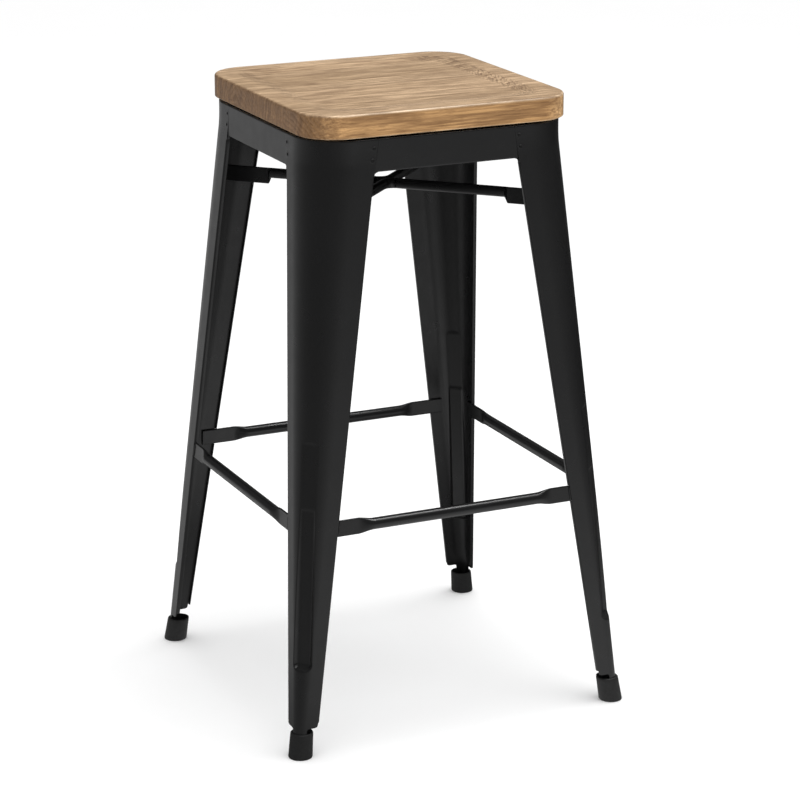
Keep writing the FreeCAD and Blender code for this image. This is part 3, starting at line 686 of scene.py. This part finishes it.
class Nodes:
    """Short hand for building a node tree."""

    def __init__(self, name):
        self.material = bpy.data.materials.new(name)
        self.material.use_nodes = True
        self.tree = self.material.node_tree
        self.shader = self.tree.nodes["Principled BSDF"]

    def add(self, kind, inputs=None, **settings):
        node = self.tree.nodes.new(kind)
        for key, value in settings.items():
            setattr(node, key, value)
        for key, value in (inputs or {}).items():
            self.put(node.inputs[key], value)
        return node

    def put(self, socket, value):
        if isinstance(value, bpy.types.NodeSocket):
            self.tree.links.new(value, socket)
        else:
            socket.default_value = value

    def math(self, operation, a, b=0.0):
        return self.add("ShaderNodeMath", {0: a, 1: b}, operation=operation).outputs[0]

    def times(self, first, *others):
        for other in others:
            first = self.math("MULTIPLY", first, other)
        return first

    def place(self):
        return self.add("ShaderNodeTexCoord").outputs["Object"]

    def parts(self, vector):
        return self.add("ShaderNodeSeparateXYZ", {0: vector}).outputs

    def mix(self, share, a, b, blend="MIX"):
        node = self.add("ShaderNodeMix", data_type="RGBA", blend_type=blend)
        self.put(node.inputs["Factor"], share)
        self.put(node.inputs["A"], a)
        self.put(node.inputs["B"], b)
        return node.outputs["Result"]

    def tint(self, share, colour, factors):
        """The colour times some factors, as far as a share says."""
        return self.mix(share, colour, self.mix(1.0, colour, factors, "MULTIPLY"))

    def noise(self, place, scale, detail=3.0, rough=0.5, distort=0.0):
        node = self.add("ShaderNodeTexNoise", {"Vector": place, "Scale": scale, "Detail": detail,
                                               "Roughness": rough, "Distortion": distort})
        return node.outputs["Fac"]

    def ramp(self, value, stops, interpolation="LINEAR"):
        """Colours at places from 0 to 1. A colour may be one grey."""
        node = self.add("ShaderNodeValToRGB", {"Fac": value})
        node.color_ramp.interpolation = interpolation
        elements = node.color_ramp.elements
        while len(elements) < len(stops):
            elements.new(0.5)
        for element, (place, colour) in zip(elements, stops):
            element.position = place
            element.color = (*colour, 1) if isinstance(colour, tuple) else (colour, colour, colour, 1)
        return node.outputs["Color"]

    def scaled(self, place, factors):
        node = self.add("ShaderNodeVectorMath", {0: place, 1: factors}, operation="MULTIPLY")
        return node.outputs["Vector"]

    def spread(self, value, low, high, to_low=0.0, to_high=1.0):
        node = self.add("ShaderNodeMapRange", {"Value": value, "From Min": low, "From Max": high,
                                               "To Min": to_low, "To Max": to_high})
        return node.outputs["Result"]

    def surface(self, colour, roughness):
        self.put(self.shader.inputs["Base Color"], colour)
        self.put(self.shader.inputs["Roughness"], roughness)

    def bump(self, height, strength, distance):
        node = self.add("ShaderNodeBump", {"Height": height, "Strength": strength, "Distance": distance})
        self.put(self.shader.inputs["Normal"], node.outputs["Normal"])

    def glow(self, strength):
        node = self.add("ShaderNodeEmission", {"Color": WHITE, "Strength": strength})
        self.put(self.tree.nodes["Material Output"].inputs["Surface"], node.outputs[0])
        return self.material


def steel_material():
    m = Nodes("powder_coat")
    place = m.place()
    broad = m.noise(place, 9.0, 2.0)
    peel = m.noise(place, 900.0, 2.0, 0.55)
    grit = m.noise(place, 2600.0, 1.0)
    m.surface(m.mix(broad, *STEEL_COLOURS), m.spread(m.noise(place, 60.0, 4.0), 0.3, 0.7, 0.27, 0.33))
    m.shader.inputs["Specular IOR Level"].default_value = 0.5
    m.bump(m.math("ADD", m.times(peel, 0.7), m.times(grit, 0.3)), 0.12, 0.0004)
    return m.material


def rubber_material():
    m = Nodes("moulded_rubber")
    place = m.place()
    colour = m.mix(m.noise(place, 120.0), *RUBBER_COLOURS)
    m.surface(colour, m.spread(m.noise(place, 300.0, 2.0), 0.3, 0.7, 0.52, 0.66))
    m.shader.inputs["Specular IOR Level"].default_value = 0.45
    m.bump(m.noise(place, 1500.0, 2.0), 0.2, 0.0003)
    return m.material


def zinc_material():
    m = Nodes("zinc_plate")
    cloud = m.noise(m.place(), 500.0)
    m.surface(m.mix(cloud, *ZINC_COLOURS), m.spread(cloud, 0.3, 0.7, 0.28, 0.42))
    m.shader.inputs["Metallic"].default_value = 1.0
    m.bump(cloud, 0.1, 0.0002)
    return m.material


def stave_values(m, y):
    """Number of the stave at y from 0 at the front, and its pith's shares aside and up, and its tone."""
    count = len(STAVE_NODES)
    stave = m.math("FLOOR", m.math("DIVIDE", m.math("ADD", y, SEAT_HALF * MM), STAVE_WIDTH * MM))
    stave = m.math("MINIMUM", m.math("MAXIMUM", stave, 0.0), count - 1.0)
    stops = [(i / count, values) for i, values in enumerate(STAVE_PITHS)]
    values = m.ramp(m.times(m.math("ADD", stave, 0.5), 1 / count), stops, "CONSTANT")
    return stave, m.add("ShaderNodeSeparateColor", {0: values}).outputs


def growth_rings(m, y, z, moved, slow, stave, pith):
    """Growth rings out from the stave's pith, as a running number."""
    middle = m.times(m.math("ADD", stave, 0.5 - len(STAVE_NODES) / 2), STAVE_WIDTH * MM)
    aside = m.math("ADD", middle, m.spread(pith[0], 0, 1, -PITH_ASIDE, PITH_ASIDE))
    high = m.spread(pith[1], 0, 1, *PITH_HEIGHTS)
    lift = m.noise(m.scaled(moved, (2.2, 14.0, 14.0)), 1.3, 2.0)
    dy = m.math("SUBTRACT", m.math("ADD", y, m.spread(slow, 0, 1, -0.020, 0.020)), aside)
    dz = m.math("SUBTRACT", m.math("ADD", z, m.spread(lift, 0, 1, -0.022, 0.022)), high)
    radius = m.math("SQRT", m.math("ADD", m.times(dy, dy), m.times(dz, dz)))
    wavy = m.noise(m.scaled(moved, (8.0, 60.0, 60.0)), 1.0)
    return m.times(m.math("ADD", radius, m.spread(wavy, 0, 1, -0.003, 0.003)), RINGS_PER_METRE)


def torn_grain(m, place, normal_z):
    """Share of torn grain, where the dish slopes across the fibres at both ends of the staves."""
    x, y, _ = m.parts(place)
    slope = m.spread(m.math("SUBTRACT", 1.0, normal_z), 0.0006, 0.006)
    slope = m.times(slope, m.spread(normal_z, 0.90, 0.96))
    ends = m.times(m.spread(m.math("ABSOLUTE", x), 0.085, 0.110), m.spread(y, -0.05, 0.06, 0.7, 1.0))
    wander = m.times(m.noise(m.scaled(place, (9.0, 9.0, 1.0)), 1.0, 1.0), 9.0)
    lean = m.times(m.math("ABSOLUTE", m.math("ADD", y, -0.03)), 150.0)
    along = m.math("ADD", m.math("ADD", m.times(x, 420.0), lean), wander)
    fan = m.add("ShaderNodeCombineXYZ", {0: along, 1: m.times(y, 70.0)}).outputs[0]
    feather = m.spread(m.noise(fan, 1.0, 4.0, 0.65, 0.4), 0.44, 0.62)
    broad = m.spread(m.noise(m.scaled(place, (22.0, 16.0, 1.0)), 1.0, 1.0), 0.38, 0.56, 0.3, 1.0)
    broad = m.math("MAXIMUM", broad, m.times(m.spread(y, 0.02, 0.07), m.spread(x, 0.0, 0.05)))
    return m.times(feather, broad, m.spread(x, -0.12, 0.12, 0.45, 1.0), slope, ends)


def sides_and_ends(m, base, place, normal, late, streak):
    """The board's colour, changed on its sides with painted shade and with painted light towards their right
    corners, on its end grain, darker on the left as painted shade, and along its top edge with a painted
    highlight.
    """
    normal_x, _, normal_z = normal
    side = m.math("SUBTRACT", 1.0, m.spread(m.math("ABSOLUTE", normal_z), 0.05, 0.45))
    # Painted shade on the board's sides.
    base = m.tint(side, base, SIDE_SHADE)
    # Painted light: the sides lighten again towards their right corners.
    base = m.tint(m.times(side, m.spread(normal_x, 0.15, 0.6)), base, RIGHT_CORNER_LIGHT)
    # End grain darkens both ends of the board; on the left side it reaches further round as painted shade.
    left_end_grain_and_shade = m.spread(m.times(normal_x, -1.0), 0.24, 0.93)
    end_grain_and_shade = m.math("MAXIMUM", left_end_grain_and_shade, m.spread(normal_x, 0.7, 1.0))
    mottle = m.spread(m.noise(m.scaled(place, (160.0, 160.0, 60.0)), 1.0), 0.35, 0.65, 0.72, 1.0)
    base = m.mix(m.times(end_grain_and_shade, mottle, 0.94), base, END_GRAIN_AND_SHADE)
    base = m.mix(m.times(m.math("SUBTRACT", 1.0, late), end_grain_and_shade, 0.22), base, END_LINES)
    # Painted highlight along the rounded top edge, broken up by the streaks and left off the end grain and
    # the left side.
    edge_highlight = m.times(m.spread(normal_z, 0.35, 0.65), m.spread(normal_z, 0.90, 0.98, 1.0, 0.0),
                     m.math("SUBTRACT", 1.0, end_grain_and_shade), m.spread(streak, 0.35, 0.60, 0.65, 0.05),
                     m.spread(normal_x, -0.4, -0.05))
    return m.mix(edge_highlight, base, PAINTED_EDGE_HIGHLIGHT)


def wood_material():
    """Elm with its grain along X. Growth rings are cylinders about a pith line, one for each stave."""
    m = Nodes("elm")
    place = m.place()
    _, y, z = m.parts(place)
    stave, pith = stave_values(m, y)
    offset = m.add("ShaderNodeCombineXYZ", {0: m.times(stave, STAVE_SHIFT)}).outputs[0]
    moved = m.add("ShaderNodeVectorMath", {0: place, 1: offset}, operation="ADD").outputs["Vector"]
    slow = m.noise(m.scaled(moved, (2.0, 9.0, 9.0)), 1.0, 2.0)
    rings = growth_rings(m, y, z, moved, slow, stave, pith)
    late = m.ramp(m.math("FRACT", rings), [(0.0, 0.2), (0.12, 0.0), (0.55, 0.3), (0.9, 1.0), (1.0, 0.2)])
    ring_tone = m.add("ShaderNodeTexNoise", {"W": rings, "Scale": 0.35, "Detail": 2.0},
                      noise_dimensions="1D").outputs["Fac"]
    fibre = m.noise(m.scaled(moved, (9.0, 420.0, 420.0)), 1.0, 4.0, 0.6)
    pores = m.noise(m.scaled(moved, (45.0, 1500.0, 1500.0)), 1.0, 2.0)
    streak = m.noise(m.scaled(moved, (13.0, 95.0, 95.0)), 1.0, 5.0, 0.62, 0.8)
    flecks = m.noise(m.scaled(moved, (30.0, 300.0, 300.0)), 1.0, 3.0, 0.6)
    base = m.mix(m.spread(slow, 0.32, 0.68), PALE_WOOD, TAN_WOOD)
    for share in (m.times(late, m.spread(ring_tone, 0.3, 0.7, 0.08, 0.34)),
                  m.spread(streak, 0.40, 0.64, 0.0, 0.55), m.spread(fibre, 0.43, 0.58, 0.0, 0.52),
                  m.spread(flecks, 0.52, 0.60, 0.0, 0.42), m.spread(pores, 0.60, 0.72, 0.0, 0.30)):
        base = m.mix(share, base, DARK_WOOD)
    base = m.mix(1.0, base, m.spread(pith[2], 0, 1, 0.90, 1.08), "MULTIPLY")
    normal = m.parts(m.add("ShaderNodeNewGeometry").outputs["Normal"])
    torn = torn_grain(m, place, normal[2])
    base = m.mix(m.times(torn, 0.92), base, TORN_GRAIN)
    base = sides_and_ends(m, base, place, normal, late, streak)
    m.surface(base, m.spread(fibre, 0.3, 0.7, 0.38, 0.52))
    m.shader.inputs["Specular IOR Level"].default_value = 0.3
    height = m.math("SUBTRACT", m.times(fibre, -0.6), m.times(pores, 0.5))
    m.bump(m.math("SUBTRACT", height, torn), 0.35, 0.0006)
    return m.material


def floor_material():
    m = Nodes("pale_floor")
    m.put(m.shader.inputs["Base Color"], m.mix(m.noise(m.place(), 3.0), *FLOOR_COLOURS))
    m.shader.inputs["Roughness"].default_value = 0.9
    m.shader.inputs["Specular IOR Level"].default_value = 0.1
    return m.material


# ---------------------------------------------------------------- scene

CAMERA_AZIMUTH = -24.95
CAMERA_ELEVATION = 16.99
CAMERA_DISTANCE = 3571.3
CAMERA_AIM_HEIGHT = 358.4
CAMERA_AIM_ASIDE = 16.6
CAMERA_LENS = 128.8
CAMERA_SENSOR = 36.0
CAMERA_CLIP = (0.1, 50.0)

# Stage, in metres
STAGE_HALF = 12.0
CARD_DROP = 0.001             # of the reflection card below the floor
DOME_RADIUS = 10.0
DOME_GLOW = 0.10
WORLD_STRENGTH = 1.04
LIGHT_AIM = (0, 0, 0.6)


def make_camera():
    az, el = math.radians(CAMERA_AZIMUTH), math.radians(CAMERA_ELEVATION)
    back = Vector((math.sin(az) * math.cos(el), -math.cos(az) * math.cos(el), math.sin(el)))
    right = Vector((math.cos(az), math.sin(az), 0))
    aim = Vector((0, 0, CAMERA_AIM_HEIGHT)) + right * CAMERA_AIM_ASIDE
    data = bpy.data.cameras.new("camera")
    data.lens = CAMERA_LENS
    data.sensor_width = CAMERA_SENSOR
    data.clip_start, data.clip_end = CAMERA_CLIP
    camera = linked("camera", data)
    camera.location = (aim + back * CAMERA_DISTANCE) * MM
    camera.rotation_euler = back.to_track_quat("Z", "Y").to_euler()
    bpy.context.scene.camera = camera


def area_light(name, place, size, power):
    data = bpy.data.lights.new(name, "AREA")
    data.shape = "RECTANGLE"
    data.size = data.size_y = size
    data.energy = power
    light = linked(name, data)
    light.location = place
    light.rotation_euler = (Vector(place) - Vector(LIGHT_AIM)).to_track_quat("Z", "Y").to_euler()
    return light


def reflection_card_material():
    """Tone of the floor as the steel reflects it: bright to the front right, darker elsewhere."""
    m = Nodes("reflection_card")
    place = m.place()
    across = m.parts(place)[0]
    away = m.add("ShaderNodeVectorMath", {0: place}, operation="LENGTH").outputs["Value"]
    heading = m.add("ShaderNodeVectorMath", {0: place}, operation="NORMALIZE").outputs["Vector"]
    x, y, _ = m.parts(heading)
    near = m.spread(away, 0.4, 1.7, 1.0, 0.0)
    ahead = m.math("MAXIMUM", m.math("SUBTRACT", m.times(x, 0.4), m.times(y, 0.92)), 0.0)
    behind = m.math("MAXIMUM", m.math("SUBTRACT", m.times(y, 0.9), m.times(x, 0.42)), 0.0)
    ahead = m.times(m.math("POWER", ahead, 3.0), m.spread(near, 0, 1, 0.44, 0.70),
                    m.spread(across, 0.75, 1.15, 1.0, 0.5))
    behind = m.times(m.math("POWER", behind, 2.0), m.spread(near, 0, 1, 0.44, 0.40))
    tone = m.math("ADD", m.math("ADD", ahead, behind), m.spread(near, 0, 1, 0.13, 0.24))
    return m.glow(m.math("SUBTRACT", tone, m.spread(x, 0.50, 0.95, 0.0, 0.10)))


def stage_piece(name, mesh, material):
    mesh.materials.append(material)
    piece = linked(name, mesh)
    return piece


def stage_plane(name, z, material):
    mesh = bpy.data.meshes.new(name)
    corners = ((-1, -1), (1, -1), (1, 1), (-1, 1))
    mesh.from_pydata([(x * STAGE_HALF, y * STAGE_HALF, z) for x, y in corners], [], [(0, 1, 2, 3)])
    return stage_piece(name, mesh, material)


def make_stage():
    """Pale floor, soft light from above, and a card and a dome that only glossy surfaces reflect."""
    floor = stage_plane("floor", 0.0, floor_material())
    floor.visible_glossy = False
    card = stage_plane("reflection_card", -CARD_DROP, reflection_card_material())
    dome_mesh = bpy.data.meshes.new("reflection_dome")
    with edited(dome_mesh) as work:
        bmesh.ops.create_icosphere(work, subdivisions=4, radius=DOME_RADIUS)
    dome = stage_piece("reflection_dome", dome_mesh, Nodes("reflection_dome").glow(DOME_GLOW))
    for screen in (card, dome):
        screen.visible_camera = False
        screen.visible_diffuse = False
        screen.visible_shadow = False
    world = bpy.data.worlds.new("studio")
    world.use_nodes = True
    background = world.node_tree.nodes["Background"]
    background.inputs["Color"].default_value = WHITE
    background.inputs["Strength"].default_value = WORLD_STRENGTH
    bpy.context.scene.world = world
    area_light("top", (0.5, -0.2, 2.9), 1.6, 30)
    glint = area_light("glint", (0.95, 0.0, 2.75), 0.3, 30)
    glint.visible_diffuse = False
    bpy.context.scene.view_settings.view_transform = "Standard"


steel = steel_material()
rubber = rubber_material()
zinc = zinc_material()
wood = wood_material()

make_legs(steel)
make_rails(steel)
make_braces(steel)
make_welds(steel)
make_caps(rubber)
make_seat(wood)

# CAD nodes that keep their shape
carried_over = {"apron_" + side: steel for side in ("front", "right", "back", "left")}
carried_over |= {"seat_pan": steel, "seat_screws": zinc}
for node, material in carried_over.items():
    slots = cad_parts[node].data.materials
    slots.clear()
    slots.append(material)

make_stage()
make_camera()
